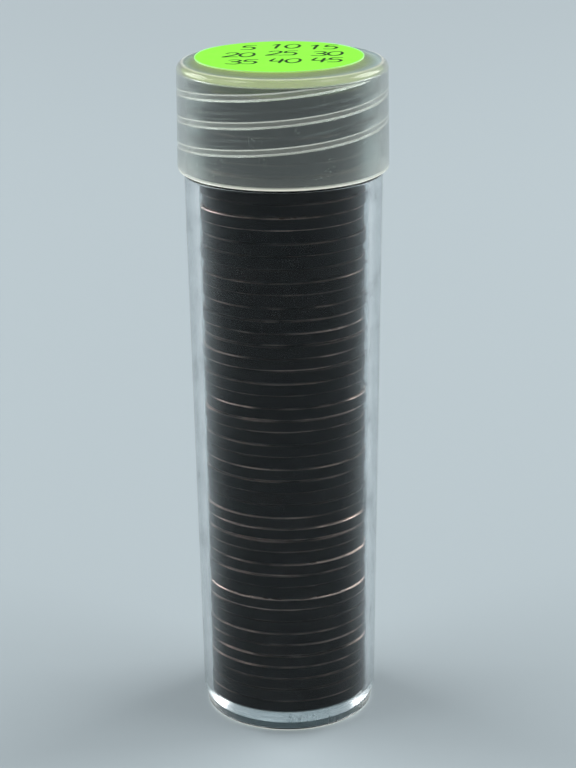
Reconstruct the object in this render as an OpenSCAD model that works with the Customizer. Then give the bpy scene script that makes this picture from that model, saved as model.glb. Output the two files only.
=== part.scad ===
// Screw-capped tube for a roll of small coins.
// A clear, drafted tube with a threaded neck holds one flat stack of coins.
// A translucent cap with a two-start thread closes it and carries a round paper label.
// Millimetres, +Z up, origin at the centre of the foot's rest face.

/* [Coins] */
// Diameter of one coin
coin_d = 19.05; // [17:0.05:21]
// Thickness of one coin over its rims
coin_t = 1.52; // [1.3:0.01:1.8]
// Number of coins in the stack
coin_count = 50; // [30:1:55]
// Width of the raised rim round each face
rim_w = 0.75; // [0.5:0.05:1.2]
// Depth of the field inside the rim
field_d = 0.14; // [0.05:0.01:0.3]
// Radius on the corners of the coin's edge
edge_r = 0.16; // [0.08:0.01:0.3]

/* [Tube] */
// Gap between the lowest coin and the bore, on the radius
coin_play = 0.14; // [0.1:0.01:0.5]
// How much wider the bore is at the mouth than at the floor, on the radius
bore_draft = 0.3; // [0.1:0.01:0.6]
// Wall thickness just above the foot
wall_t = 1.03; // [0.8:0.01:2]
// Thickness of the floor
floor_t = 1.55; // [1:0.05:3]
// Depth of the recess under the floor
recess_d = 0.8; // [0.3:0.05:1.5]
// Width of the ring that the tube stands on
foot_ring_w = 1.2; // [0.8:0.05:2]
// Height of the stepped foot
foot_h = 1.9; // [1:0.05:3]
// Width of the step above the foot
foot_step = 0.3; // [0.1:0.05:0.6]
// How much the foot narrows to its rest face, on the radius
foot_draft = 0.12; // [0:0.01:0.3]
// Radius on the outer corner of the foot
foot_edge_r = 0.25; // [0.1:0.05:0.4]
// Space between the top coin and the mouth
mouth_space = 1.15; // [0.5:0.05:3]
// Radius on the rim of the mouth
mouth_r = 0.2; // [0.1:0.05:0.35]

/* [Neck] */
// Wall thickness of the neck
neck_t = 0.74; // [0.7:0.01:1.5]
// Width of the ledge where the body meets the neck
ledge_w = 0.85; // [0.6:0.05:1.5]
// Radius on the outer corner of the ledge
ledge_r = 0.2; // [0.1:0.05:0.4]
// Height of the neck above the ledge
neck_h = 11.6; // [10.6:0.1:13]

/* [Thread] */
// Number of thread starts
starts = 2; // [1:1:2]
// Height between neighbouring ridges
ridge_pitch = 3.1; // [2.9:0.05:3.6]
// How far a ridge stands out of its wall
ridge_h = 0.4; // [0.25:0.01:0.6]
// Width of a ridge at its root
ridge_root_w = 0.9; // [0.8:0.05:1.2]
// Width of a ridge at its crest
ridge_crest_w = 0.4; // [0.25:0.05:0.6]
// Gap between the flanks of the cap's ridge and the neck's
flank_gap = 0.12; // [0.08:0.01:0.3]
// Gap between a crest and the wall opposite, on the radius
crest_gap = 0.16; // [0.12:0.01:0.3]
// Turns that each ridge of the neck makes
neck_turns = 1.1; // [0.6:0.05:1.3]
// Turns that each ridge of the cap makes
cap_turns = 1.45; // [0.8:0.05:1.6]
// Direction in which the cap's first ridge meets the top plate, in degrees
ridge_end_angle = 340; // [0:5:355]

/* [Cap] */
// Wall thickness of the skirt under the top plate
cap_t = 0.88; // [0.7:0.01:1.6]
// How much wider the skirt is at its lip, on the radius
cap_draft = 0.15; // [0:0.01:0.4]
// Thickness of the top plate
plate_t = 0.95; // [0.7:0.05:2]
// Gap between the mouth and the top plate
seat_gap = 0.2; // [0.1:0.05:0.5]
// Gap between the lip and the ledge
lip_gap = 0.35; // [0.2:0.05:1]
// Radius on the upper edge of the cap
cap_edge_r = 0.85; // [0.4:0.05:1.2]
// Radius on the outer corner of the lip
lip_r = 0.3; // [0.15:0.05:0.4]
// Bevel on the inner corner of the lip
lip_bevel = 0.25; // [0.1:0.05:0.35]

/* [Label] */
// Diameter of the round paper label
label_d = 19.6; // [15:0.1:19.8]
// Thickness of the label's paper
label_t = 0.1; // [0.08:0.01:0.2]
// Distance of the label from the cap's axis, to the left
label_left = 0.35; // [0:0.05:0.6]
// Distance of the label from the cap's axis, to the back
label_back = 2.2; // [0:0.05:2.3]

/* [Hidden] */
// Facets of every round that is cut into straight sides
$fn = 96;
// Steps in one turn of a thread ridge
ridge_steps = 36;
// Points on a rounded corner of an outline
corner_steps = 6;
// How far a cut or a fused root runs past the face it starts from
overrun = 0.2;
// Least gap kept between a coin and the bore when it lies off centre
coin_gap = 0.06;
// Share of a coin's free play that the whole stack leans to one side
lean_share = 0.45;
// Share of a coin's free play that each coin wanders by itself
wander_share = 0.5;
// Direction that the stack leans in, and the turn from one coin's wander to the next
lean_angle = 190;
wander_turn = 137.5;
// Share of a turn over which a ridge rises out of its wall at each end
runout_share = 0.045;
// Share of a ridge's height that is left at its very end
end_share = 0.1;

coin_r = coin_d / 2;
floor_z = recess_d + floor_t;
stack_h = coin_count * coin_t;
mouth_z = floor_z + stack_h + mouth_space;
ledge_z = mouth_z - neck_h;
bore_r = coin_r + coin_play;
mouth_bore_r = bore_r + bore_draft;
body_r = bore_r + wall_t;
foot_top_r = body_r - foot_step;
foot_r = foot_top_r - foot_draft;
recess_r = foot_r - foot_ring_w;
neck_r = mouth_bore_r + neck_t;
ledge_out_r = neck_r + ledge_w;

lead = starts * ridge_pitch;
neck_crest_r = neck_r + ridge_h;
cap_bore_r = neck_crest_r + crest_gap;
cap_crest_r = cap_bore_r - ridge_h;
cap_r = cap_bore_r + cap_t;
lip_out_r = cap_r + cap_draft;
ceiling_z = mouth_z + seat_gap;
cap_top_z = ceiling_z + plate_t;
lip_z = ledge_z + lip_gap;
label_r = label_d / 2;
label_x = -label_left;
label_y = label_back;

// The lower edge of a ridge's root at its upper end, on the cap and on the neck
cap_ridge_top_z = ceiling_z - overrun / 2;
neck_ridge_top_z = mouth_z - mouth_r - ridge_root_w;
// The neck's ridges lie just above the cap's, so this is where they end
neck_end_angle = ridge_end_angle
    + 360 * (neck_ridge_top_z - ridge_root_w - flank_gap - cap_ridge_top_z) / lead;

function coin_name(i) = str("coin_", i < 10 ? "0" : "", i);

// The bore's radius at a height, and the centre of a coin by its number from the floor
function bore_at(z) = bore_r + bore_draft * (z - floor_z) / (mouth_z - floor_z);
function coin_z(i) = floor_z + (i - 1) * coin_t;
function play_at(i) = i == coin_count ? 0 : bore_at(coin_z(i)) - coin_r - coin_gap;
function coin_x(i) = play_at(i) * (lean_share * cos(lean_angle) + wander_share * cos(i * wander_turn));
function coin_y(i) = play_at(i) * (lean_share * sin(lean_angle) + wander_share * sin(i * wander_turn));

// Points on an arc in the outline's plane, from angle a to angle b
function arc(x, y, r, a, b) = [for (k = [0:corner_steps])
    [x + r * cos(a + (b - a) * k / corner_steps), y + r * sin(a + (b - a) * k / corner_steps)]];

// One ridge of a thread as a closed solid, wound upwards and counter-clockwise. Its root lies
// in the wall at root_r, its crest at crest_r, and it ends at end_angle with the lower edge of
// its root at top_z. No point of it is higher than limit_z.
module ridge(wall_r, crest_r, turns, end_angle, top_z, limit_z) {
    out = sign(crest_r - wall_r);
    root_r = wall_r - out * overrun;
    steps = ceil(turns * ridge_steps);
    flank_w = (ridge_root_w - ridge_crest_w) / 2;
    rows = [for (k = [0:steps])
        let (
            left = turns * k / steps,
            rise = min(1, end_share + min(left, turns - left) / runout_share),
            a = end_angle - 360 * left,
            z = top_z - lead * left,
            tip_r = wall_r + out * ridge_h * rise
        )
        [
            [root_r * cos(a), root_r * sin(a), z],
            [tip_r * cos(a), tip_r * sin(a), z + flank_w],
            [tip_r * cos(a), tip_r * sin(a), min(limit_z, z + flank_w + ridge_crest_w)],
            [root_r * cos(a), root_r * sin(a), min(limit_z, z + ridge_root_w)]
        ]];
    corners = len(rows[0]);
    points = [for (row = rows) for (p = row) p];
    last = steps * corners;
    sides = [for (k = [0:steps - 1]) for (j = [0:corners - 1])
        let (a = k * corners + j, b = k * corners + (j + 1) % corners)
        for (tri = [[a, b, b + corners], [a, b + corners, a + corners]]) tri];
    ends = [[3, 2, 1], [3, 1, 0], [last, last + 1, last + 2], [last, last + 2, last + 3]];
    faces = concat(sides, ends);
    polyhedron(points = points, faces = out < 0 ? faces : [for (f = faces) [f[2], f[1], f[0]]]);
}

module tube() {
    outline = concat(
        [[0, recess_d], [recess_r, recess_d], [recess_r, 0]],
        arc(foot_r - foot_edge_r, foot_edge_r, foot_edge_r, -90, 0),
        [[foot_top_r, foot_h], [body_r, foot_h]],
        arc(ledge_out_r - ledge_r, ledge_z - ledge_r, ledge_r, 0, 90),
        [[neck_r, ledge_z]],
        arc(neck_r - mouth_r, mouth_z - mouth_r, mouth_r, 0, 90),
        [[mouth_bore_r, mouth_z], [bore_r, floor_z], [0, floor_z]]
    );
    color([0.85, 0.93, 0.95, 0.4]) union() {
        rotate_extrude() polygon(outline);
        for (s = [0:starts - 1])
            ridge(neck_r, neck_crest_r, neck_turns, neck_end_angle + 360 * s / starts,
                neck_ridge_top_z, mouth_z);
    }
}

module cap() {
    outline = concat(
        [[0, ceiling_z], [cap_bore_r, ceiling_z], [cap_bore_r, lip_z + lip_bevel]],
        [[cap_bore_r + lip_bevel, lip_z]],
        arc(lip_out_r - lip_r, lip_z + lip_r, lip_r, -90, 0),
        arc(cap_r - cap_edge_r, cap_top_z - cap_edge_r, cap_edge_r, 0, 90),
        [[0, cap_top_z]]
    );
    color([0.8, 0.85, 0.84, 0.6]) union() {
        rotate_extrude() polygon(outline);
        for (s = [0:starts - 1])
            ridge(cap_bore_r, cap_crest_r, cap_turns, ridge_end_angle + 360 * s / starts,
                cap_ridge_top_z, ceiling_z + overrun);
    }
}

// The label follows the cap's flat top and bends down a little way over its rounded edge
module label() {
    bend_x = cap_r - cap_edge_r;
    bend_z = cap_top_z - cap_edge_r;
    skin = concat(
        [[0, cap_top_z]],
        arc(bend_x, bend_z, cap_edge_r, 90, 0),
        arc(bend_x, bend_z, cap_edge_r + label_t, 0, 90),
        [[0, cap_top_z + label_t]]
    );
    color([0.6, 0.98, 0.34]) intersection() {
        rotate_extrude() polygon(skin);
        translate([label_x, label_y, bend_z]) cylinder(h = cap_edge_r + overrun, r = label_r);
    }
}

// One coin: a disc with rounded corners and a shallow field inside each rim
module coin(i) {
    rim_in_r = coin_r - rim_w;
    outline = concat(
        [[0, field_d], [rim_in_r, field_d], [rim_in_r + field_d, 0]],
        arc(coin_r - edge_r, edge_r, edge_r, -90, 0),
        arc(coin_r - edge_r, coin_t - edge_r, edge_r, 0, 90),
        [[rim_in_r + field_d, coin_t], [rim_in_r, coin_t - field_d], [0, coin_t - field_d]]
    );
    color([0.42, 0.26, 0.18])
        translate([coin_x(i), coin_y(i), coin_z(i)]) rotate_extrude() polygon(outline);
}

tube();
cap();
label();
for (i = [1:coin_count]) coin(i);
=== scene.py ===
# A clear screw-capped tube with a full stack of small coins, and its round paper label.
import math

import bmesh
import bpy
import numpy as np
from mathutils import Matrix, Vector


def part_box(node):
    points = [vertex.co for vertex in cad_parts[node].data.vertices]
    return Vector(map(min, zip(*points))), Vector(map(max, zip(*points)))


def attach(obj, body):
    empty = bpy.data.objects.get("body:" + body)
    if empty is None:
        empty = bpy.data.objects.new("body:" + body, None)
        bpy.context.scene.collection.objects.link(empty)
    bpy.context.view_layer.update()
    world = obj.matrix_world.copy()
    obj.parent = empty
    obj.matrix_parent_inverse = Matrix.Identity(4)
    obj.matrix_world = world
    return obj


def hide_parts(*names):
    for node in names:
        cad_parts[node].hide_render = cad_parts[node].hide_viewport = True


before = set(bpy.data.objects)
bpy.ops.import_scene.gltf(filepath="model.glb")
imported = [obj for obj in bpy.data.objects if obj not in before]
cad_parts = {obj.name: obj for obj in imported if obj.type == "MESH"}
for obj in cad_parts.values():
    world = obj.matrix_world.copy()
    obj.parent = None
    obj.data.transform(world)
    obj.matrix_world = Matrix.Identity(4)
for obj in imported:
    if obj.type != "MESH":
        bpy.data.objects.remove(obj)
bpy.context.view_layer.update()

MM = 0.001
TURN = 2 * math.pi

# Sizes that the frame gives
_, tube_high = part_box("tube")
cap_low, cap_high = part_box("cap")
coin_low, coin_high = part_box("coin_01")
coin_names = sorted(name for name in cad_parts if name.startswith("coin_"))
mouth_z = tube_high.z
floor_z = coin_low.z
lip_z = cap_low.z
cap_top_z = cap_high.z
lip_out_r = cap_high.x
coin_r = (coin_high.x - coin_low.x) / 2
coin_t = coin_high.z - coin_low.z

# Sizes of the tube and its neck
recess_d = 0.8 * MM
recess_r = 9.075 * MM
gate_r = 0.9 * MM
gate_h = 0.25 * MM
foot_r = 10.275 * MM
foot_top_r = 10.395 * MM
foot_h = 1.9 * MM
body_r = 10.695 * MM
bore_r = 9.665 * MM
mouth_bore_r = 9.965 * MM
neck_r = 10.705 * MM
neck_crest_r = 11.105 * MM
ledge_z = 67.9 * MM
ledge_out_r = 11.555 * MM
foot_round = 0.25 * MM
ledge_round = 0.2 * MM
mouth_round = 0.2 * MM
small_round = 0.12 * MM
guard_step = 0.08 * MM

# Sizes of the cap
cap_r = 12.145 * MM
cap_bore_r = 11.265 * MM
cap_crest_r = 10.865 * MM
ceiling_z = 79.7 * MM
cap_round = 0.85 * MM
lip_round = 0.3 * MM
lip_bevel = 0.25 * MM

# The two-start thread
starts = 2
ridge_pitch = 3.1 * MM
ridge_root_w = 0.9 * MM
ridge_crest_w = 0.4 * MM
cap_end_angle = math.radians(340)
cap_ridge_top_z = 79.6 * MM
cap_turns = 1.45
neck_end_angle = math.radians(211.1)
neck_ridge_top_z = 78.4 * MM
neck_turns = 1.1
runout_turns = 0.02

# Sizes of a coin and of the label
coin_rim_w = 0.75 * MM
coin_field_d = 0.14 * MM
coin_round = 0.16 * MM
label_r = 9.8 * MM
label_x = -0.35 * MM
label_y = 2.2 * MM
paper_t = 0.09 * MM
paper_sink = 0.004 * MM
ink_fade = 0.12 * MM

# How finely the pieces are divided
SEGMENTS = 240
COIN_SEGMENTS = 80
LABEL_SEGMENTS = 360
RIDGE_ROWS = 12
FLAT_ROWS = 3
INK_RINGS = 112
UNDERSIDE_RINGS = 28
weld_gap = 0.002 * MM

# Angles in degrees, above which an edge is drawn sharp
WALL_SHARP = 38
THIN_SHARP = 50

# The strength of the painted glows: painted light where a plastic wall would carry light out, and
# the fluorescent paper's painted glow
GLOW = 0.8


class Wire:
    """An output socket. A formula on wires adds Math nodes to their tree."""

    def __init__(self, tree, socket):
        self.tree = tree
        self.socket = socket

    def math(self, operation, *terms):
        node = self.tree.nodes.new("ShaderNodeMath")
        node.operation = operation
        for slot, term in zip(node.inputs, (self, *terms)):
            plug(self.tree, term, slot)
        return Wire(self.tree, node.outputs[0])

    def __add__(self, other):
        return self.math("ADD", other)

    def __sub__(self, other):
        return self.math("SUBTRACT", other)

    def __mul__(self, other):
        return self.math("MULTIPLY", other)

    def __truediv__(self, other):
        return self.math("DIVIDE", other)

    def least(self, other):
        return self.math("MINIMUM", other)

    def most(self, other):
        return self.math("MAXIMUM", other)

    def under(self, level):
        """How far it lies below a level."""
        return self * -1 + level

    def rise(self, low, high):
        """0 below low, 1 above high, and a smooth rise between them."""
        node = self.tree.nodes.new("ShaderNodeMapRange")
        node.interpolation_type = "SMOOTHSTEP"
        plug(self.tree, self, node.inputs["Value"])
        plug(self.tree, low, node.inputs["From Min"])
        plug(self.tree, high, node.inputs["From Max"])
        return Wire(self.tree, node.outputs["Result"])


def plug(tree, term, slot):
    """Links a wire to an input socket, or sets the socket to a plain value."""
    if isinstance(term, Wire):
        tree.links.new(term.socket, slot)
    else:
        slot.default_value = term


def add(tree, kind, inputs=None, **settings):
    """Adds a node, sets it up, and plugs its inputs by name."""
    node = tree.nodes.new(kind)
    for key, value in settings.items():
        setattr(node, key, value)
    for key, value in (inputs or {}).items():
        slot = next(s for s in node.inputs if s.name == key and s.enabled)
        plug(tree, value, slot)
    return node


def out(tree, node, name):
    """The wire from a node's output of that name."""
    return Wire(tree, next(s for s in node.outputs if s.name == name and s.enabled))


def split(tree, vector):
    """The X, Y and Z of a vector."""
    node = add(tree, "ShaderNodeSeparateXYZ", {"Vector": vector})
    return [out(tree, node, axis) for axis in "XYZ"]


def new_tree(name, kind, inputs, outputs):
    """A node group. Returns it with a dictionary of its inputs as wires."""
    tree = bpy.data.node_groups.new(name, kind)
    for label, socket_type in inputs:
        tree.interface.new_socket(label, in_out="INPUT", socket_type=socket_type)
    for label, socket_type in outputs:
        tree.interface.new_socket(label, in_out="OUTPUT", socket_type=socket_type)
    entry = tree.nodes.new("NodeGroupInput")
    return tree, {s.name: Wire(tree, s) for s in entry.outputs if s.name}


def finish_tree(tree, **results):
    """Plugs the results into the group's outputs, whose names have a capital letter."""
    end = tree.nodes.new("NodeGroupOutput")
    for name, wire in results.items():
        plug(tree, wire, end.inputs[name.capitalize().replace("_", " ")])
    return tree


GEOMETRY, NUMBER, WHOLE = "NodeSocketGeometry", "NodeSocketFloat", "NodeSocketInt"
MATERIAL, OBJECT, VECTOR = "NodeSocketMaterial", "NodeSocketObject", "NodeSocketVector"


def on_circle(tree, radius, angle, height):
    """A position from cylinder coordinates."""
    node = add(tree, "ShaderNodeCombineXYZ", {
        "X": radius * angle.math("COSINE"),
        "Y": radius * angle.math("SINE"),
        "Z": height,
    })
    return out(tree, node, "Vector")


def grid_of(tree, columns, rows):
    """A flat grid of columns by rows steps, with each point's column and row."""
    grid = add(tree, "GeometryNodeMeshGrid", {
        "Size X": columns,
        "Size Y": rows,
        "Vertices X": columns + 1,
        "Vertices Y": rows + 1,
    })
    x, y, _ = split(tree, out(tree, add(tree, "GeometryNodeInputPosition"), "Position"))
    return out(tree, grid, "Mesh"), x + columns / 2, y + rows / 2


def lathe_group():
    """Turns an outline, a chain of points in the XZ plane, about the Z axis."""
    tree, given = new_tree(
        "Lathe",
        "GeometryNodeTree",
        [("Outline", GEOMETRY), ("Segments", WHOLE), ("First angle", NUMBER)],
        [("Mesh", GEOMETRY)],
    )
    size = add(tree, "GeometryNodeAttributeDomainSize", {"Geometry": given["Outline"]})
    rows = out(tree, size, "Point Count") - 1
    mesh, column, row = grid_of(tree, given["Segments"] + 0, rows)
    place = out(tree, add(tree, "GeometryNodeInputPosition"), "Position")
    sample = add(tree, "GeometryNodeSampleIndex", {
        "Geometry": given["Outline"],
        "Value": place,
        "Index": row + 0.5,
    }, data_type="FLOAT_VECTOR")
    radius, _, height = split(tree, out(tree, sample, "Value"))
    angle = given["First angle"] + column * TURN / given["Segments"]
    moved = add(tree, "GeometryNodeSetPosition", {
        "Geometry": mesh,
        "Position": on_circle(tree, radius, angle, height),
    })
    return finish_tree(tree, mesh=out(tree, moved, "Geometry"))


def threaded_wall_group():
    """A round wall with thread ridges as one skin: a strip as wide as the lead winds up
    the wall, and what lies past the wall's two ends is flattened onto them."""
    tree, given = new_tree(
        "Threaded wall",
        "GeometryNodeTree",
        [
            ("Wall radius", NUMBER), ("Crest radius", NUMBER), ("Low z", NUMBER),
            ("High z", NUMBER), ("Pitch", NUMBER), ("Starts", WHOLE), ("Root width", NUMBER),
            ("Crest width", NUMBER), ("Top z", NUMBER), ("End angle", NUMBER),
            ("Turns", NUMBER), ("Run-out", NUMBER), ("Fade", NUMBER), ("Segments", WHOLE),
            ("Ridge rows", WHOLE), ("Flat rows", WHOLE),
        ],
        [("Mesh", GEOMETRY)],
    )
    lead = given["Pitch"] * given["Starts"]
    rows_each = given["Ridge rows"] + given["Flat rows"]
    above = ((given["High z"] - given["Top z"]) / lead).math("CEIL") + 1
    below = ((given["Top z"] - given["Low z"]) / lead).math("CEIL") + 1
    columns = (above + below) * given["Segments"]
    mesh, column, row = grid_of(tree, columns, rows_each * given["Starts"])

    # Which ridge a row belongs to, and how far up the pitch it lies
    number = ((row + 0.5) / rows_each).math("FLOOR").least(given["Starts"] + 0)
    step = row - number * rows_each
    root = given["Root width"]
    on_ridge = step.least(given["Ridge rows"]) / given["Ridge rows"] * root
    on_flat = (step - given["Ridge rows"]).most(0.0) / given["Flat rows"]
    up = on_ridge + on_flat * (given["Pitch"] - root)

    turns = column / given["Segments"] - below
    z = given["Top z"] + turns * lead + number * given["Pitch"] + up
    height = z.least(given["High z"]).most(given["Low z"])

    # The ridge's profile, faded out at its own two ends and at the wall's
    flank = (root - given["Crest width"]) / 2
    profile = up.least(root - up).rise(0.0, flank)
    left = (turns + number / given["Starts"]) * -1
    starts_off = left.rise(0.0, given["Run-out"])
    stops = (given["Turns"] - left).rise(0.0, given["Run-out"])
    fade = given["Fade"]
    clear = (given["High z"] - z).rise(0.0, fade) * (z - given["Low z"]).rise(0.0, fade)
    share = profile * starts_off * stops * clear
    radius = given["Wall radius"] + share * (given["Crest radius"] - given["Wall radius"])
    angle = given["End angle"] + turns * TURN
    moved = add(tree, "GeometryNodeSetPosition", {
        "Geometry": mesh,
        "Position": on_circle(tree, radius, angle, height),
    })
    return finish_tree(tree, mesh=out(tree, moved, "Geometry"))


def closed_smooth(tree, mesh, material):
    """Welds the seams, smooths the shading and sets the material of a tree's result."""
    weld = add(tree, "GeometryNodeMergeByDistance", {"Geometry": mesh, "Distance": weld_gap})
    smooth = add(tree, "GeometryNodeSetShadeSmooth", {"Geometry": out(tree, weld, "Geometry")})
    real = add(tree, "GeometryNodeRealizeInstances", {"Geometry": out(tree, smooth, "Geometry")})
    dressed = add(tree, "GeometryNodeSetMaterial", {
        "Geometry": out(tree, real, "Geometry"),
        "Material": material,
    })
    return out(tree, dressed, "Geometry")


def turned_tree(lathe):
    """A turned piece with no thread."""
    tree, given = new_tree(
        "Turned piece",
        "GeometryNodeTree",
        [("Outline", GEOMETRY), ("Segments", WHOLE), ("Finish", MATERIAL)],
        [("Mesh", GEOMETRY)],
    )
    turned = add(tree, "GeometryNodeGroup", node_tree=lathe)
    for name in ("Outline", "Segments"):
        plug(tree, given[name], turned.inputs[name])
    result = closed_smooth(tree, out(tree, turned, "Mesh"), given["Finish"])
    return finish_tree(tree, mesh=result)


def threaded_tree(lathe, threaded_wall):
    """A turned piece, one wall of which carries the thread."""
    own = [("Outline", GEOMETRY), ("Finish", MATERIAL)]
    shared = [
        (item.name, item.socket_type)
        for item in threaded_wall.interface.items_tree
        if item.in_out == "INPUT"
    ]
    tree, given = new_tree("Threaded piece", "GeometryNodeTree", own + shared, [("Mesh", GEOMETRY)])
    turned = add(tree, "GeometryNodeGroup", node_tree=lathe)
    for name in ("Outline", "Segments"):
        plug(tree, given[name], turned.inputs[name])
    plug(tree, given["End angle"], turned.inputs["First angle"])
    wall = add(tree, "GeometryNodeGroup", node_tree=threaded_wall)
    for name, _ in shared:
        plug(tree, given[name], wall.inputs[name])
    both = tree.nodes.new("GeometryNodeJoinGeometry")
    plug(tree, out(tree, turned, "Mesh"), both.inputs[0])
    plug(tree, out(tree, wall, "Mesh"), both.inputs[0])
    result = closed_smooth(tree, out(tree, both, "Geometry"), given["Finish"])
    return finish_tree(tree, mesh=result)


def link(piece):
    bpy.context.scene.collection.objects.link(piece)
    return piece


def piece_from_tree(name, base, tree, values, sharp_above=WALL_SHARP):
    """Runs a tree on a base mesh and keeps the result as a plain mesh piece."""
    carrier = link(bpy.data.objects.new(name + "_base", base))
    modifier = carrier.modifiers.new("Make", "NODES")
    modifier.node_group = tree
    for item in tree.interface.items_tree:
        if item.in_out == "INPUT" and item.name in values:
            modifier[item.identifier] = values[item.name]
    depsgraph = bpy.context.evaluated_depsgraph_get()
    mesh = bpy.data.meshes.new_from_object(carrier.evaluated_get(depsgraph))
    carrier.modifiers.remove(modifier)
    bpy.data.objects.remove(carrier)
    mesh.name = name
    face_outwards(mesh, sharp_above)
    return link(bpy.data.objects.new(name, mesh))


def face_outwards(mesh, sharp_above):
    """Points the faces of a closed mesh outwards, marks its sharp edges, and drops the
    edges that the turning leaves on the axis."""
    work = bmesh.new()
    work.from_mesh(mesh)
    stray = [vert for vert in work.verts if not vert.link_faces]
    bmesh.ops.delete(work, geom=stray, context="VERTS")
    stray = [edge for edge in work.edges if not edge.link_faces]
    bmesh.ops.delete(work, geom=stray, context="EDGES")
    bmesh.ops.recalc_face_normals(work, faces=work.faces)
    work.to_mesh(mesh)
    work.free()
    mesh.set_sharp_from_angle(angle=math.radians(sharp_above))


def with_guards(points):
    """Adds a point near both ends of each long stretch of an outline, so that the smooth
    shading of its corners doesn't reach along it."""
    guarded = []
    for (r, z), (next_r, next_z) in zip(points, points[1:]):
        guarded.append((r, z))
        length = math.hypot(next_r - r, next_z - z)
        if length > 5 * guard_step:
            for share in (guard_step / length, 1 - guard_step / length):
                guarded.append((r + (next_r - r) * share, z + (next_z - z) * share))
    return [*guarded, points[-1]]


def outline_mesh(name, points):
    """A chain of (radius, height) points as a mesh of edges in the XZ plane."""
    mesh = bpy.data.meshes.new(name)
    corners = [(r, 0, z) for r, z in with_guards(points)]
    mesh.from_pydata(corners, [(k, k + 1) for k in range(len(corners) - 1)], [])
    return mesh


def arc(x, z, radius, first, last, steps=6):
    """Points on an arc of an outline, with its angles in degrees."""
    angles = [math.radians(first + (last - first) * k / steps) for k in range(steps + 1)]
    return [(x + radius * math.cos(a), z + radius * math.sin(a)) for a in angles]


def tube_outline():
    """From the top of the neck's thread over the mouth, down the bore, under the floor and
    up the outside to the foot of the neck."""
    s = small_round
    return [
        (neck_r, mouth_z - mouth_round - guard_step),
        *arc(neck_r - mouth_round, mouth_z - mouth_round, mouth_round, 0, 90),
        *arc(mouth_bore_r + s, mouth_z - s, s, 90, 180),
        *arc(bore_r - s, floor_z + s, s, 0, -90),
        (0, floor_z),
        (0, recess_d - gate_h),
        *arc(gate_r - s, recess_d - gate_h + s, s, -90, 0),
        (gate_r, recess_d),
        *arc(recess_r - s, recess_d - s, s, 90, 0),
        *arc(recess_r + s, s, s, 180, 270),
        *arc(foot_r - foot_round, foot_round, foot_round, -90, 0),
        *arc(foot_top_r + s, foot_h - s, s, 180, 90),
        *arc(body_r - s, foot_h + s, s, -90, 0),
        *arc(ledge_out_r - ledge_round, ledge_z - ledge_round, ledge_round, 0, 90),
        *arc(neck_r + s, ledge_z + s, s, -90, -180),
        (neck_r, ledge_z + s + guard_step),
    ]


def cap_outline():
    """From the top of the cap's thread over the ceiling, round the outside and back in
    under the lip."""
    s = small_round
    return [
        (cap_bore_r, ceiling_z - s - guard_step),
        *arc(cap_bore_r - s, ceiling_z - s, s, 0, 90),
        (0, ceiling_z),
        (0, cap_top_z),
        *arc(cap_r - cap_round, cap_top_z - cap_round, cap_round, 90, 0, steps=16),
        *arc(lip_out_r - lip_round, lip_z + lip_round, lip_round, 0, -90, steps=8),
        *arc(cap_bore_r + lip_bevel, lip_z + lip_bevel, lip_bevel, -90, -180),
        (cap_bore_r, lip_z + lip_bevel + guard_step),
    ]


def coin_outline():
    """A coin with rounded corners and a shallow field inside each rim."""
    inner = coin_r - coin_rim_w
    return [
        (0, coin_field_d),
        (inner, coin_field_d),
        (inner + coin_field_d, 0),
        *arc(coin_r - coin_round, coin_round, coin_round, -90, 0, steps=4),
        *arc(coin_r - coin_round, coin_t - coin_round, coin_round, 0, 90, steps=4),
        (inner + coin_field_d, coin_t),
        (inner, coin_t - coin_field_d),
        (0, coin_t - coin_field_d),
    ]


def thread_values(wall_r, crest_r, low_z, high_z, top_z, end_angle, turns, finish):
    """The inputs of a threaded piece."""
    return {
        "Finish": finish, "Wall radius": wall_r, "Crest radius": crest_r, "Low z": low_z,
        "High z": high_z, "Pitch": ridge_pitch, "Starts": starts, "Root width": ridge_root_w,
        "Crest width": ridge_crest_w, "Top z": top_z, "End angle": end_angle, "Turns": turns,
        "Run-out": runout_turns, "Fade": small_round, "Segments": SEGMENTS,
        "Ridge rows": RIDGE_ROWS, "Flat rows": FLAT_ROWS,
    }


def stack_tree():
    """Sets one coin on each point of the stack, turned by chance, and numbers it."""
    tree, given = new_tree(
        "Coin stack",
        "GeometryNodeTree",
        [("Places", GEOMETRY), ("Coin", OBJECT), ("Seed", WHOLE), ("Finish", MATERIAL)],
        [("Mesh", GEOMETRY)],
    )
    coin = add(tree, "GeometryNodeObjectInfo", {"Object": given["Coin"]})
    turn = add(tree, "FunctionNodeRandomValue", {
        "Max": TURN,
        "Seed": given["Seed"],
    }, data_type="FLOAT")
    spin = add(tree, "ShaderNodeCombineXYZ", {"Z": out(tree, turn, "Value")})
    placed = add(tree, "GeometryNodeInstanceOnPoints", {
        "Points": given["Places"],
        "Instance": out(tree, coin, "Geometry"),
        "Rotation": out(tree, spin, "Vector"),
    })
    number = out(tree, add(tree, "GeometryNodeInputIndex"), "Index")
    named = add(tree, "GeometryNodeStoreNamedAttribute", {
        "Geometry": out(tree, placed, "Instances"),
        "Name": "coin_number",
        "Value": number + 1,
    }, data_type="FLOAT", domain="INSTANCE")
    real = add(tree, "GeometryNodeRealizeInstances", {"Geometry": out(tree, named, "Geometry")})
    dressed = add(tree, "GeometryNodeSetMaterial", {
        "Geometry": out(tree, real, "Geometry"),
        "Material": given["Finish"],
    })
    return finish_tree(tree, mesh=out(tree, dressed, "Geometry"))


# Shared effects

def in_millimetres(tree):
    """Object coordinates in millimetres."""
    place = out(tree, add(tree, "ShaderNodeTexCoord"), "Object")
    scaled = add(tree, "ShaderNodeVectorMath", operation="SCALE")
    plug(tree, place, scaled.inputs[0])
    scaled.inputs["Scale"].default_value = 1 / MM
    return Wire(tree, scaled.outputs["Vector"])


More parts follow.
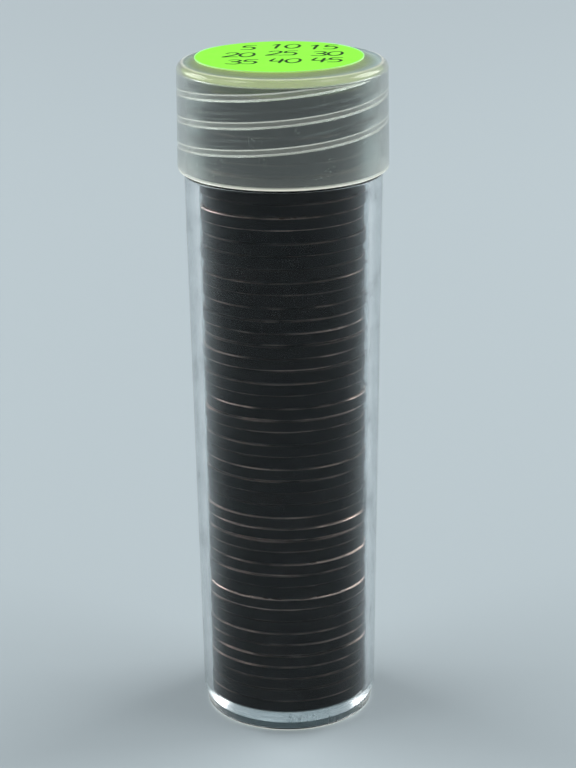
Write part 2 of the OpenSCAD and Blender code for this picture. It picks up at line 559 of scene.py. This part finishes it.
def from_axis(tree, place):
    """The distance from the tube's axis and the height of a place."""
    x, y, z = split(tree, place)
    return (x * x + y * y).math("SQRT"), z


def stretched(tree, vector, x, y, z):
    """A vector scaled along each axis."""
    node = add(tree, "ShaderNodeVectorMath", operation="MULTIPLY")
    plug(tree, vector, node.inputs[0])
    node.inputs[1].default_value = (x, y, z)
    return Wire(tree, node.outputs["Vector"])


def noise(tree, vector, scale, detail=2.0, roughness=0.5):
    """A noise mask from 0 to 1."""
    node = add(tree, "ShaderNodeTexNoise", {
        "Vector": vector, "Scale": scale, "Detail": detail, "Roughness": roughness,
    })
    return out(tree, node, "Fac")


def hairline_group():
    """Fine scratches: thin level lines of a stretched noise, kept only in patches."""
    tree, given = new_tree(
        "Hairline scratches",
        "ShaderNodeTree",
        [("Vector", VECTOR), ("Width", NUMBER), ("Cover", NUMBER)],
        [("Mask", NUMBER)],
    )
    along = noise(tree, stretched(tree, given["Vector"], 1.0, 1.0, 0.12), 0.9, detail=3.0)
    round_ = noise(tree, stretched(tree, given["Vector"], 0.15, 0.15, 1.0), 0.8, detail=3.0)
    patch = noise(tree, given["Vector"], 0.28, detail=1.0)
    kept = patch.rise(given["Cover"].under(1) * 0.6, 0.75)
    lines = [
        (mask - 0.5).math("ABSOLUTE").rise(given["Width"], 0.0) for mask in (along, round_)
    ]
    return finish_tree(tree, mask=lines[0].most(lines[1]) * kept)


def mottle_group():
    """Soft uneven patches in two sizes."""
    tree, given = new_tree(
        "Mottle",
        "ShaderNodeTree",
        [("Vector", VECTOR), ("Scale", NUMBER), ("Contrast", NUMBER)],
        [("Mask", NUMBER)],
    )
    broad = noise(tree, given["Vector"], given["Scale"], detail=2.0)
    fine = noise(tree, given["Vector"], given["Scale"] * 4.3, detail=3.0, roughness=0.6)
    mixed = broad * 0.65 + fine * 0.35
    spread = (mixed - 0.5) * given["Contrast"] + 0.5
    return finish_tree(tree, mask=spread.least(1.0).most(0.0))


def use(tree, group, **values):
    """Places a shader group with its own values and returns its mask."""
    node = add(tree, "ShaderNodeGroup", node_tree=group)
    for name, value in values.items():
        plug(tree, value, node.inputs[name.capitalize()])
    return Wire(tree, node.outputs["Mask"])


def stored(tree, name):
    """An attribute that the mesh keeps under a name."""
    return out(tree, add(tree, "ShaderNodeAttribute", attribute_name=name), "Fac")


def by_chance(tree, number):
    """A value from 0 to 1 that a number draws."""
    node = add(tree, "ShaderNodeTexWhiteNoise", {"W": number}, noise_dimensions="1D")
    return out(tree, node, "Value")


def colour_mix(tree, share, first, second):
    """Mixes two colours by a mask."""
    node = add(tree, "ShaderNodeMix", data_type="RGBA")
    plug(tree, share, node.inputs["Factor"])
    for slot, colour in zip([s for s in node.inputs if s.enabled][1:], (first, second)):
        plug(tree, colour, slot)
    return out(tree, node, "Result")


def bump(tree, height, depth):
    """A normal from a height mask, with the depth of its full height in metres."""
    node = add(tree, "ShaderNodeBump", {"Height": height, "Distance": depth, "Strength": 1.0})
    return out(tree, node, "Normal")


def new_material(name, **settings):
    """A material with a Principled BSDF. The settings go on the shader's own sockets."""
    material = bpy.data.materials.new(name)
    material.use_nodes = True
    tree = material.node_tree
    shader = tree.nodes["Principled BSDF"]
    for key, value in settings.items():
        shader.inputs[key.replace("_", " ")].default_value = value
    return material, tree, shader


def rgb(red, green, blue):
    """A colour written as it looks on a screen, from 0 to 255, as linear values."""
    def linear(level):
        share = level / 255
        return share / 12.92 if share <= 0.04045 else ((share + 0.055) / 1.055) ** 2.4

    return (linear(red), linear(green), linear(blue), 1.0)


BLACK = (0, 0, 0, 1)
BACKDROP = rgb(190, 202, 208)


# Materials

def clear_plastic(hairlines, mottle):
    """The tube: clear and glossy, with faint scratches and smudges, and painted light at its foot
    and under its floor.
    """
    material, tree, shader = new_material(
        "Clear polystyrene", Transmission_Weight=1.0, IOR=1.57, Specular_Tint=rgb(150, 150, 150),
        Emission_Strength=GLOW,
    )
    place = in_millimetres(tree)
    marks = use(tree, hairlines, vector=place, width=0.035, cover=0.45)
    smudge = use(tree, mottle, vector=place, scale=0.22, contrast=2.4)
    tint = colour_mix(tree, smudge, (0.77, 0.80, 0.81, 1), (0.71, 0.745, 0.755, 1))
    tint = colour_mix(tree, marks * 0.8, tint, (0.38, 0.42, 0.44, 1))

    # Painted shade: the tint darkens where the wall is seen edge-on, standing for the longer way
    # through the wall
    weight = add(tree, "ShaderNodeLayerWeight", {"Blend": 0.5})
    grazing = out(tree, weight, "Facing").rise(0.8, 1.0)
    tint = colour_mix(tree, grazing, tint, (0.5, 0.53, 0.545, 1))
    plug(tree, tint, shader.inputs["Base Color"])

    # The foot is scuffed dull
    radius, z = from_axis(tree, place)
    scuffed = z.under(foot_h / MM).rise(-0.8, 0.0) * (smudge * 0.12 + 0.06)
    plug(tree, smudge * 0.02 + marks * 0.2 + scuffed, shader.inputs["Roughness"])

    # Painted light: a pale glow painted on the edge that the tube stands on and a faint one under
    # the floor, standing for light that the wall carries down there
    standing = z.under(foot_round / MM).rise(0.0, 0.2)
    standing = standing * (radius - foot_r / MM).rise(-0.3, -0.15)
    beneath = z.under(recess_d / MM + 0.05).rise(0.0, 0.04)
    beneath = beneath * radius.under(recess_r / MM).rise(0.0, 0.3)
    glow = colour_mix(tree, beneath, BLACK, rgb(82, 96, 100))
    glow = colour_mix(tree, standing, glow, rgb(238, 238, 228))
    plug(tree, glow, shader.inputs["Emission Color"])
    waves = noise(tree, stretched(tree, place, 1, 1, 0.3), 0.25, detail=0.0)
    plug(tree, bump(tree, waves - marks * 0.4, 0.004 * MM), shader.inputs["Normal"])
    return material


def milky_plastic(hairlines, mottle):
    """The cap: a cloudy translucent plastic that scatters light, with painted glows on its rim,
    lip, thread, ceiling and top.
    """
    material, tree, shader = new_material(
        "Milky cap plastic", Transmission_Weight=0.97, IOR=1.5, Emission_Strength=GLOW
    )
    half_wall = 0.45
    place = in_millimetres(tree)
    marks = use(tree, hairlines, vector=place, width=0.004, cover=0.2)
    cloud = use(tree, mottle, vector=place, scale=0.3, contrast=1.6)
    tint = colour_mix(tree, cloud, rgb(247, 253, 250), rgb(238, 248, 244))

    # The outside is glossy, the moulded inside duller, and the thread and the lip duller yet
    radius, z = from_axis(tree, place)
    within = radius.under(cap_r / MM - half_wall).rise(0.0, 0.15)
    within = within * z.under(cap_top_z / MM - half_wall).rise(0.0, 0.15)
    ridge = radius.under(cap_bore_r / MM).rise(0.04, 0.2) * within
    lip = z.under((lip_z + lip_round) / MM).rise(0.0, 0.15)
    dull = within * 0.1 + ridge * 0.1 + lip * 0.2
    plug(tree, dull + cloud * 0.04 + marks * 0.04 + 0.14, shader.inputs["Roughness"])
    height = noise(tree, place, 1.2, detail=1.0) * 0.5
    plug(tree, bump(tree, height, 0.005 * MM), shader.inputs["Normal"])

    # Painted light: glows painted on its rim, its lip, its thread and most on the thread's
    # undersides, standing for light that the wall carries there and the milky plastic lets out
    _, _, upwards = split(tree, out(tree, add(tree, "ShaderNodeTexCoord"), "Normal"))
    on_ridge = radius.under(cap_bore_r / MM).rise(0.0, 0.04) * within
    underside = on_ridge * (upwards * -1).rise(0.0, 0.4)
    # Patches that make the painted glows uneven
    wear_and_glow_patches = use(tree, mottle, vector=place, scale=0.7, contrast=2.0) * 0.5 + 0.5
    corner = (radius - (cap_r - cap_round) / MM).rise(0.0, 0.12)
    corner = corner * (z - (cap_top_z - cap_round) / MM).rise(-0.3, 0.3)
    rim = corner * (upwards.rise(0.84, 0.97) * 0.5 + 0.09) * wear_and_glow_patches
    lit = (lip * 0.55 + underside * 0.24 + ridge * 0.1 + rim).least(1.0)
    glow = colour_mix(tree, lit, BLACK, rgb(246, 247, 232))
    # A faint painted glow on the ceiling inside the cap
    ceiling = within * (z - ceiling_z / MM).rise(-0.12, 0.0) * wear_and_glow_patches
    glow = colour_mix(tree, ceiling, glow, rgb(84, 90, 66))

    # Painted light: the label's light falling through the flat top in front of it is painted as a
    # green glow and a yellow-green tint, and the rest of the top gets a painted bluish glow
    top = (z - cap_top_z / MM).rise(-0.06, -0.01) * corner.under(1) * wear_and_glow_patches
    label_light = add(tree, "ShaderNodeVectorMath", operation="DISTANCE")
    plug(tree, place, label_light.inputs[0])
    label_light.inputs[1].default_value = (label_x / MM, label_y / MM - 2.5, cap_top_z / MM)
    in_front = out(tree, label_light, "Value").rise(label_r / MM + 2.0, label_r / MM)
    top_glow = colour_mix(tree, in_front, rgb(108, 134, 142), rgb(30, 60, 5))
    glow = colour_mix(tree, top, glow, top_glow)
    plug(tree, glow, shader.inputs["Emission Color"])
    tint = colour_mix(tree, top * in_front, tint, rgb(226, 240, 160))
    plug(tree, tint, shader.inputs["Base Color"])

    # Light scatters in the thickness of the wall; where the way is long, light scattered again and
    # again is painted as a glow in the volume
    scatter = add(tree, "ShaderNodeVolumeScatter", {
        "Color": (0.97, 0.985, 0.975, 1), "Density": 160.0, "Anisotropy": 0.2,
    })
    painted_scatter_glow = add(tree, "ShaderNodeEmission", {"Color": (0.94, 1, 0.97, 1), "Strength": 22.0})
    both = tree.nodes.new("ShaderNodeAddShader")
    plug(tree, out(tree, scatter, "Volume"), both.inputs[0])
    plug(tree, out(tree, painted_scatter_glow, "Emission"), both.inputs[1])
    plug(tree, out(tree, both, "Shader"), tree.nodes["Material Output"].inputs["Volume"])
    return material


def coin_metal(mottle):
    """The coins: dark toned copper, each in a shade of its own."""
    material, tree, shader = new_material("Toned copper", Metallic=1.0)
    place = in_millimetres(tree)
    number = stored(tree, "coin_number")
    own = by_chance(tree, number)
    other = by_chance(tree, number + 60.5)
    patches = use(tree, mottle, vector=place, scale=0.25, contrast=2.2)
    dark = colour_mix(tree, own, rgb(9, 9, 10), rgb(30, 22, 20))
    toned = colour_mix(tree, patches * 0.5, dark, rgb(13, 19, 21))

    # The corners of the edge are worn back to brighter copper, more on some coins
    _, _, z = split(tree, place)
    level = (z - floor_z / MM) / (coin_t / MM)
    inside = level - level.math("FLOOR")
    to_corner = inside.least(inside.under(1)) * (coin_t / MM)
    corner = to_corner.rise(own * 0.14 + 0.15, 0.07)
    wear_and_glow_patches = noise(tree, stretched(tree, place, 1, 1, 6), 0.18, detail=3.0).rise(0.35, 0.7)
    wear = corner * (wear_and_glow_patches * 1.1 + 0.08) * (other.math("POWER", 3.0) * 1.4 + 0.05)
    colour = colour_mix(tree, wear.least(1.0), toned, rgb(224, 194, 182))
    plug(tree, colour, shader.inputs["Base Color"])
    plug(tree, patches * 0.25 - wear * 0.2 + 0.35, shader.inputs["Roughness"])
    grain = noise(tree, stretched(tree, place, 0.5, 0.5, 1), 1.2, detail=1.0)
    plug(tree, bump(tree, grain, 0.004 * MM), shader.inputs["Normal"])
    return material


def label_paper(mottle):
    """The label: fluorescent green paper with a pale cut rim, partly a painted highlight, dark ink
    and a painted glow.
    """
    material, tree, shader = new_material(
        "Fluorescent paper", Roughness=0.8, Emission_Strength=GLOW, Specular_IOR_Level=0.2
    )
    place = in_millimetres(tree)
    fibres = noise(tree, stretched(tree, place, 1, 2.5, 1), 3.2, detail=4.0, roughness=0.7)
    cloud = use(tree, mottle, vector=place, scale=0.5, contrast=1.5)
    paper = colour_mix(tree, cloud, rgb(144, 240, 62), rgb(152, 245, 72))
    paper = colour_mix(tree, fibres.rise(0.45, 0.8) * 0.5, paper, rgb(170, 250, 100))
    ink = stored(tree, "ink")
    # The pale cut rim, drawn wider towards the back as a painted highlight
    paper = colour_mix(tree, stored(tree, "rim"), paper, rgb(190, 255, 190))
    drawn = colour_mix(tree, ink, paper, rgb(10, 48, 18))
    plug(tree, drawn, shader.inputs["Base Color"])

    # Painted light: the fluorescent paper's glow is painted as emission, and its underside gets a
    # stronger painted glow for the light it lets through
    faint = colour_mix(tree, ink, rgb(50, 120, 22), BLACK)
    glow = colour_mix(tree, stored(tree, "under"), faint, rgb(180, 186, 40))
    plug(tree, glow, shader.inputs["Emission Color"])
    plug(tree, bump(tree, fibres, 0.012 * MM), shader.inputs["Normal"])
    return material


def pale_floor():
    """The floor: plain and pale, and level with the backdrop far away."""
    material, tree, shader = new_material("Pale floor", Roughness=0.6)
    place = out(tree, add(tree, "ShaderNodeTexCoord"), "Object")
    cloud = noise(tree, place, 3.0, detail=2.0)
    colour = colour_mix(tree, cloud, rgb(186, 198, 203), rgb(190, 201, 205))
    plug(tree, colour, shader.inputs["Base Color"])

    # Past the lamps' reach the floor is seen at the level that it has near the object
    far, _ = from_axis(tree, place)
    light_path = add(tree, "ShaderNodeLightPath")
    seen = out(tree, light_path, "Is Camera Ray")
    for kind in ("Is Glossy Ray", "Is Transmission Ray"):
        seen = seen.most(out(tree, light_path, kind))
    level = add(tree, "ShaderNodeEmission", {"Color": BACKDROP})
    mixed = add(tree, "ShaderNodeMixShader", {"Fac": far.rise(0.2, 0.9) * seen})
    plug(tree, Wire(tree, shader.outputs["BSDF"]), mixed.inputs[1])
    plug(tree, out(tree, level, "Emission"), mixed.inputs[2])
    plug(tree, out(tree, mixed, "Shader"), tree.nodes["Material Output"].inputs["Surface"])
    return material


# The label's strokes: plain numbers, as chains of points in a box one unit high

DIGITS = {
    "0": [[(0.32, 1), (0.08, 0.8), (0, 0.45), (0.12, 0.1), (0.34, 0), (0.56, 0.2), (0.62, 0.55),
           (0.54, 0.86), (0.32, 1)]],
    "1": [[(0.1, 0.8), (0.34, 1), (0.3, 0.5), (0.28, 0)]],
    "2": [[(0.04, 0.8), (0.2, 1), (0.48, 0.96), (0.56, 0.7), (0.36, 0.38), (0, 0.02),
           (0.34, 0.06), (0.64, 0)]],
    "3": [[(0.04, 0.9), (0.3, 1), (0.54, 0.84), (0.46, 0.6), (0.22, 0.54), (0.5, 0.44),
           (0.6, 0.2), (0.36, 0), (0, 0.1)]],
    "4": [[(0.14, 1), (0.02, 0.46), (0.34, 0.42), (0.66, 0.46)], [(0.5, 0.9), (0.44, 0)]],
    "5": [[(0.56, 1), (0.14, 0.96), (0.08, 0.6), (0.4, 0.62), (0.58, 0.36), (0.44, 0.04),
           (0.04, 0.04)]],
}
# Each number with its left end and foot on the label, in shares of the label's radius
NUMBERS = [("5", -0.46, 0.40), ("10", -0.12, 0.46), ("15", 0.34, 0.38),
           ("20", -0.66, -0.06), ("25", -0.15, 0.02), ("30", 0.38, -0.04),
           ("35", -0.62, -0.50), ("40", -0.12, -0.46), ("45", 0.37, -0.44)]
digit_h = 2.6 * MM
digit_step = 1.8 * MM
pen_r = 0.18 * MM


def smooth_chain(points):
    """A Catmull-Rom curve through a chain of points, in steps of half a pen's radius."""
    ends = [points[0], *points, points[-1]]
    curve = []
    for a, b, c, d in zip(ends, ends[1:], ends[2:], ends[3:]):
        steps = math.ceil(math.dist(b, c) * digit_h / (0.5 * pen_r))
        for k in range(steps):
            t = k / steps
            curve.append(tuple(
                0.5 * (2 * q + (r - p) * t + (2 * p - 5 * q + 4 * r - s) * t * t
                       + (3 * q - p - 3 * r + s) * t ** 3)
                for p, q, r, s in zip(a, b, c, d)
            ))
    return [*curve, points[-1]]


def ink_dots():
    """Points along every stroke on the label, from its centre, each with its pen radius."""
    dots = []
    for text, left, foot in NUMBERS:
        for place, digit in enumerate(text):
            for chain in DIGITS[digit]:
                curve = smooth_chain(chain)
                for k, (x, y) in enumerate(curve):
                    lean = 0.12 * y
                    pressure = 0.75 + 0.35 * math.sin(math.pi * k / len(curve))
                    dots.append((
                        left * label_r + place * digit_step + (x + lean) * digit_h,
                        foot * label_r + y * digit_h,
                        pen_r * pressure,
                    ))
    return dots


def over_the_cap(x, y, lift):
    """A point of the label, x and y from the cap's axis: flat on the top, then bent down
    over the cap's rounded edge."""
    reach = math.hypot(x, y)
    bend = cap_r - cap_round
    if reach <= bend:
        return (x, y, cap_top_z + lift)
    lean = math.asin(min(1.0, (reach - bend) / cap_round))
    side = bend + (cap_round + lift) * math.sin(lean)
    return (x * side / reach, y * side / reach,
            cap_top_z - cap_round + (cap_round + lift) * math.cos(lean))


def disc(rings, around, base):
    """The flat places of a round sheet's points and its faces, numbered from base."""
    places = [(0.0, 0.0)]
    faces = []
    for ring in range(1, rings + 1):
        reach = label_r * ring / rings
        for k in range(around):
            angle = TURN * k / around
            places.append((reach * math.cos(angle), reach * math.sin(angle)))
    for k in range(around):
        after = (k + 1) % around
        faces.append((base, base + 1 + k, base + 1 + after))
        for ring in range(rings - 1):
            low = base + 1 + ring * around
            high = low + around
            faces.append((low + k, high + k, high + after, low + after))
    return places, faces


def label_piece(finish):
    """The paper as a closed sheet, with the ink and the pale cut rim, partly a painted highlight,
    as attributes.
    """
    around = LABEL_SEGMENTS
    below, faces = disc(UNDERSIDE_RINGS, around, 0)
    above, more_faces = disc(INK_RINGS, around, len(below))
    faces += more_faces
    verts = [over_the_cap(x + label_x, y + label_y, -paper_sink) for x, y in below]
    verts += [over_the_cap(x + label_x, y + label_y, paper_t) for x, y in above]
    low, high = len(below) - around, len(verts) - around
    for k in range(around):
        after = (k + 1) % around
        faces.append((low + k, low + after, high + after, high + k))
    mesh = bpy.data.meshes.new("paper_label")
    mesh.from_pydata(verts, [], faces)
    mesh.materials.append(finish)
    face_outwards(mesh, THIN_SHARP)

    x, y = np.array(below + above).T
    side = np.arange(len(verts)) < len(below)
    gap = np.full(len(verts), label_r)
    for across, along, pen in ink_dots():
        gap = np.minimum(gap, np.hypot(x - across, y - along) - pen)
    ink = np.where(side, 0.0, np.clip(0.5 - gap / ink_fade, 0, 1))
    # The paper's pale cut edge, drawn wider towards the back as a painted highlight where the light
    # catches it
    edge_and_highlight_width = (0.15 + 0.45 * np.clip(y / label_r, 0, 1)) * MM
    rim = np.clip((np.hypot(x, y) - label_r) / edge_and_highlight_width + 1, 0, 1)
    for name, levels in (("ink", ink), ("rim", rim), ("under", side.astype(float))):
        values = mesh.attributes.new(name, "FLOAT", "POINT")
        values.data.foreach_set("value", levels.tolist())
    return link(bpy.data.objects.new("paper_label", mesh))


def make_coins(turned, finish):
    """The coins that ride in the tube as one piece, and the top coin by itself."""
    proto = piece_from_tree("coin_proto", outline_mesh("coin_outline", coin_outline()), turned, {
        "Segments": COIN_SEGMENTS, "Finish": finish,
    }, sharp_above=THIN_SHARP)
    corners = [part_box(name) for name in coin_names]
    places = [((low.x + high.x) / 2, (low.y + high.y) / 2, low.z) for low, high in corners]
    points = bpy.data.meshes.new("coin_places")
    points.from_pydata(places[:-1], [], [])
    stack = piece_from_tree("coin_stack", points, stack_tree(), {
        "Coin": proto, "Seed": 7, "Finish": finish,
    }, sharp_above=THIN_SHARP)
    top = bpy.data.meshes.new("top_place")
    top.from_pydata(places[-1:], [], [])
    top_coin = piece_from_tree("top_coin", top, stack_tree(), {
        "Coin": proto, "Seed": 11, "Finish": finish,
    }, sharp_above=THIN_SHARP)
    bpy.data.objects.remove(proto)
    return stack, top_coin


def build_object():
    hairlines = hairline_group()
    mottle = mottle_group()
    clear = clear_plastic(hairlines, mottle)
    milky = milky_plastic(hairlines, mottle)
    metal = coin_metal(mottle)
    paper = label_paper(mottle)
    lathe = lathe_group()
    turned = turned_tree(lathe)
    threaded = threaded_tree(lathe, threaded_wall_group())

    tube = piece_from_tree(
        "clear_tube", outline_mesh("tube_outline", tube_outline()), threaded,
        thread_values(neck_r, neck_crest_r, ledge_z + small_round + guard_step,
                      mouth_z - mouth_round - guard_step,
                      neck_ridge_top_z, neck_end_angle, neck_turns, clear),
    )
    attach(tube, "tube")
    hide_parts("tube")

    cap = piece_from_tree(
        "screw_cap", outline_mesh("cap_outline", cap_outline()), threaded,
        thread_values(cap_bore_r, cap_crest_r, lip_z + lip_bevel + guard_step,
                      ceiling_z - small_round - guard_step,
                      cap_ridge_top_z, cap_end_angle, cap_turns, milky),
    )
    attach(cap, "cap")
    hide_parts("cap")

    stack, top_coin = make_coins(turned, metal)
    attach(stack, "tube")
    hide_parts(*coin_names[:-1])
    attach(top_coin, "top_coin")
    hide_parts(coin_names[-1])

    label = label_piece(paper)
    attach(label, "cap")
    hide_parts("label")


# Camera, lamps and floor

def make_camera():
    """The photograph's view, fitted to the object's edges."""
    focal_px, frame_h_px = 2109.7, 768
    place = Vector((0, -239.64, 125.87)) * MM
    yaw, pitch, roll = 0.001, 0.339, -0.0112
    ahead = Vector((
        math.sin(yaw) * math.cos(pitch), math.cos(yaw) * math.cos(pitch), -math.sin(pitch)
    ))
    right = ahead.cross(Vector((0, 0, 1))).normalized()
    up = right.cross(ahead)
    turned_right = right * math.cos(roll) + up * math.sin(roll)
    turned_up = up * math.cos(roll) - right * math.sin(roll)
    data = bpy.data.cameras.new("Camera")
    data.sensor_fit = "VERTICAL"
    data.sensor_height = 24
    data.lens = focal_px * data.sensor_height / frame_h_px
    data.clip_start = 0.01
    camera = link(bpy.data.objects.new("Camera", data))
    matrix = camera.matrix_world.copy()
    for row in range(3):
        matrix[row][0] = turned_right[row]
        matrix[row][1] = turned_up[row]
        matrix[row][2] = -ahead[row]
        matrix[row][3] = place[row]
    camera.matrix_world = matrix
    bpy.context.scene.camera = camera


# Each lamp's name, place, width, height and power in watts
LAMPS = [
    ("Left softbox", (-0.7, 0.35, 0.45), 0.6, 0.45, 3.9),
    ("Right softbox", (0.7, 0.35, 0.5), 0.6, 0.45, 4.6),
    ("Left overhead softbox", (-0.42, -0.1, 0.72), 0.25, 0.3, 0.8),
    ("Right overhead softbox", (0.42, -0.1, 0.72), 0.25, 0.3, 0.8),
]
lamp_target = (0, 0.05, 0.04)


def softbox(name, place, width, height, power):
    """A rectangular area lamp that faces the object."""
    data = bpy.data.lights.new(name, "AREA")
    data.shape = "RECTANGLE"
    data.size = width
    data.size_y = height
    data.energy = power
    lamp = link(bpy.data.objects.new(name, data))
    lamp.location = place
    towards = Vector(lamp_target) - Vector(place)
    lamp.rotation_euler = towards.to_track_quat("-Z", "Y").to_euler()


def make_studio():
    floor_half = 2.0
    floor_drop = 0.03 * MM
    mesh = bpy.data.meshes.new("floor")
    corners = [(-floor_half, -floor_half), (floor_half, -floor_half),
               (floor_half, floor_half), (-floor_half, floor_half)]
    mesh.from_pydata([(x, y, -floor_drop) for x, y in corners], [], [(0, 1, 2, 3)])
    mesh.materials.append(pale_floor())
    link(bpy.data.objects.new("floor", mesh))
    world = bpy.data.worlds.new("Studio")
    world.use_nodes = True
    tree = world.node_tree
    x, _, z = split(tree, out(tree, add(tree, "ShaderNodeTexCoord"), "Generated"))
    sideways = x.math("ABSOLUTE").rise(0.2, 0.9)
    level = z.math("ABSOLUTE").rise(0.25, 0.1)
    sky = colour_mix(tree, sideways, rgb(84, 88, 92), rgb(226, 232, 235))
    sky = colour_mix(tree, level, sky, BACKDROP)
    plug(tree, sky, tree.nodes["Background"].inputs["Color"])
    bpy.context.scene.world = world
    for lamp in LAMPS:
        softbox(*lamp)


bpy.context.scene.view_settings.view_transform = "Standard"
make_camera()
make_studio()
build_object()
